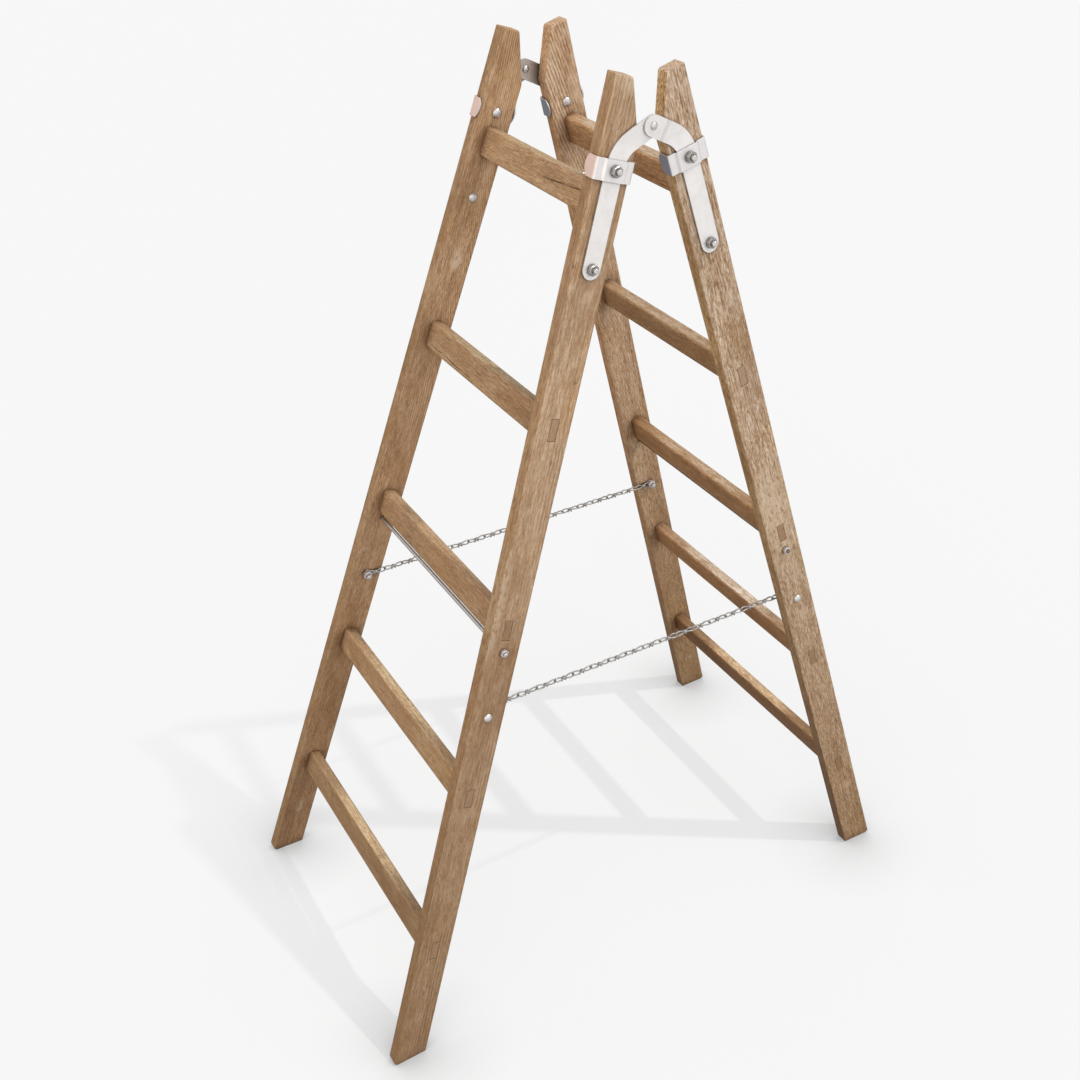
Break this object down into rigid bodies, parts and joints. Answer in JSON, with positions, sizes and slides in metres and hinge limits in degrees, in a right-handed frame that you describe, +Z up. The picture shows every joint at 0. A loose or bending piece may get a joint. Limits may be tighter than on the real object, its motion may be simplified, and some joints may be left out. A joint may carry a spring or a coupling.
{
  "type": "step ladder",
  "caption": "Double-sided wooden step ladder: two hinged halves of flat rungs between splayed stiles, held open by two knotted wire chains.",
  "frame": {"origin": "on the floor, under the middle of the hinge axis", "axes": "+Z up, +Y along the hinge axis and the rungs, +X from the left half to the right half"},
  "size_m": [1.0058, 0.5554, 1.4672],
  "materials": {
    "oak": "old oiled hardwood with open grain, dents and worn edges",
    "plate": "zinc-plated steel strip, softly shining",
    "fastener": "zinc-plated bolts, nuts and rods",
    "chain_wire": "bright galvanised wire"
  },
  "bodies": {
    "left_half": {"stile_left_front": "oak", "stile_left_back": "oak", "rung_left_1": "oak", "rung_left_2": "oak", "rung_left_3": "oak", "rung_left_4": "oak", "rung_left_5": "oak", "hinge_leaf_left_front": "plate", "clamp_band_left_front": "plate", "hinge_bolt_upper_left_front": "fastener", "hinge_nut_upper_left_front": "fastener", "hinge_bolt_lower_left_front": "fastener", "hinge_nut_lower_left_front": "fastener", "chain_bolt_left_front": "fastener", "chain_nut_left_front": "fastener", "tie_nut_left_front": "fastener", "hinge_leaf_left_back": "plate", "clamp_band_left_back": "plate", "hinge_bolt_upper_left_back": "fastener", "hinge_nut_upper_left_back": "fastener", "hinge_bolt_lower_left_back": "fastener", "hinge_nut_lower_left_back": "fastener", "chain_bolt_left_back": "fastener", "chain_nut_left_back": "fastener", "tie_nut_left_back": "fastener", "tie_rod_left": "fastener", "hinge_rivet_left_back": "fastener"},
    "right_half": {"stile_right_front": "oak", "stile_right_back": "oak", "rung_right_1": "oak", "rung_right_2": "oak", "rung_right_3": "oak", "rung_right_4": "oak", "rung_right_5": "oak", "hinge_leaf_right_front": "plate", "clamp_band_right_front": "plate", "hinge_bolt_upper_right_front": "fastener", "hinge_nut_upper_right_front": "fastener", "hinge_bolt_lower_right_front": "fastener", "hinge_nut_lower_right_front": "fastener", "chain_bolt_right_front": "fastener", "chain_nut_right_front": "fastener", "tie_nut_right_front": "fastener", "hinge_leaf_right_back": "plate", "clamp_band_right_back": "plate", "hinge_bolt_upper_right_back": "fastener", "hinge_nut_upper_right_back": "fastener", "hinge_bolt_lower_right_back": "fastener", "hinge_nut_lower_right_back": "fastener", "chain_bolt_right_back": "fastener", "chain_nut_right_back": "fastener", "tie_nut_right_back": "fastener", "tie_rod_right": "fastener", "hinge_rivet_right_front": "fastener"},
    "chain_run_left_front": {"chain_left_front": "chain_wire"},
    "chain_run_left_back": {"chain_left_back": "chain_wire"},
    "chain_run_right_front": {"chain_right_front": "chain_wire"},
    "chain_run_right_back": {"chain_right_back": "chain_wire"}
  },
  "joints": [
    {"name": "ladder_fold", "type": "hinge", "parent": "left_half", "child": "right_half", "pos_m": [0, 0, 1.4], "axis": [0, 1, 0], "range_deg": [0, 33], "deforming": ["chain_left_front", "chain_left_back", "chain_right_front", "chain_right_back"]},
    {"name": "chain_swing_left_front", "type": "hinge", "parent": "left_half", "child": "chain_run_left_front", "pos_m": [-0.28883, -0.2015, 0.6039], "axis": [0, 1, 0], "range_deg": [0, 96.5]},
    {"name": "chain_swing_left_back", "type": "hinge", "parent": "left_half", "child": "chain_run_left_back", "pos_m": [-0.28883, 0.2015, 0.6039], "axis": [0, 1, 0], "range_deg": [0, 96.5]},
    {"name": "chain_swing_right_front", "type": "hinge", "parent": "right_half", "child": "chain_run_right_front", "pos_m": [0.28883, -0.2015, 0.6039], "axis": [0, -1, 0], "range_deg": [0, 96.5]},
    {"name": "chain_swing_right_back", "type": "hinge", "parent": "right_half", "child": "chain_run_right_back", "pos_m": [0.28883, 0.2015, 0.6039], "axis": [0, -1, 0], "range_deg": [0, 96.5]}
  ],
  "couplings": [
    {"joint": "chain_swing_left_front", "follows": "ladder_fold", "ratio": 2.9201},
    {"joint": "chain_swing_left_back", "follows": "ladder_fold", "ratio": 2.9201},
    {"joint": "chain_swing_right_front", "follows": "ladder_fold", "ratio": 2.9201},
    {"joint": "chain_swing_right_back", "follows": "ladder_fold", "ratio": 2.9201}
  ]
}
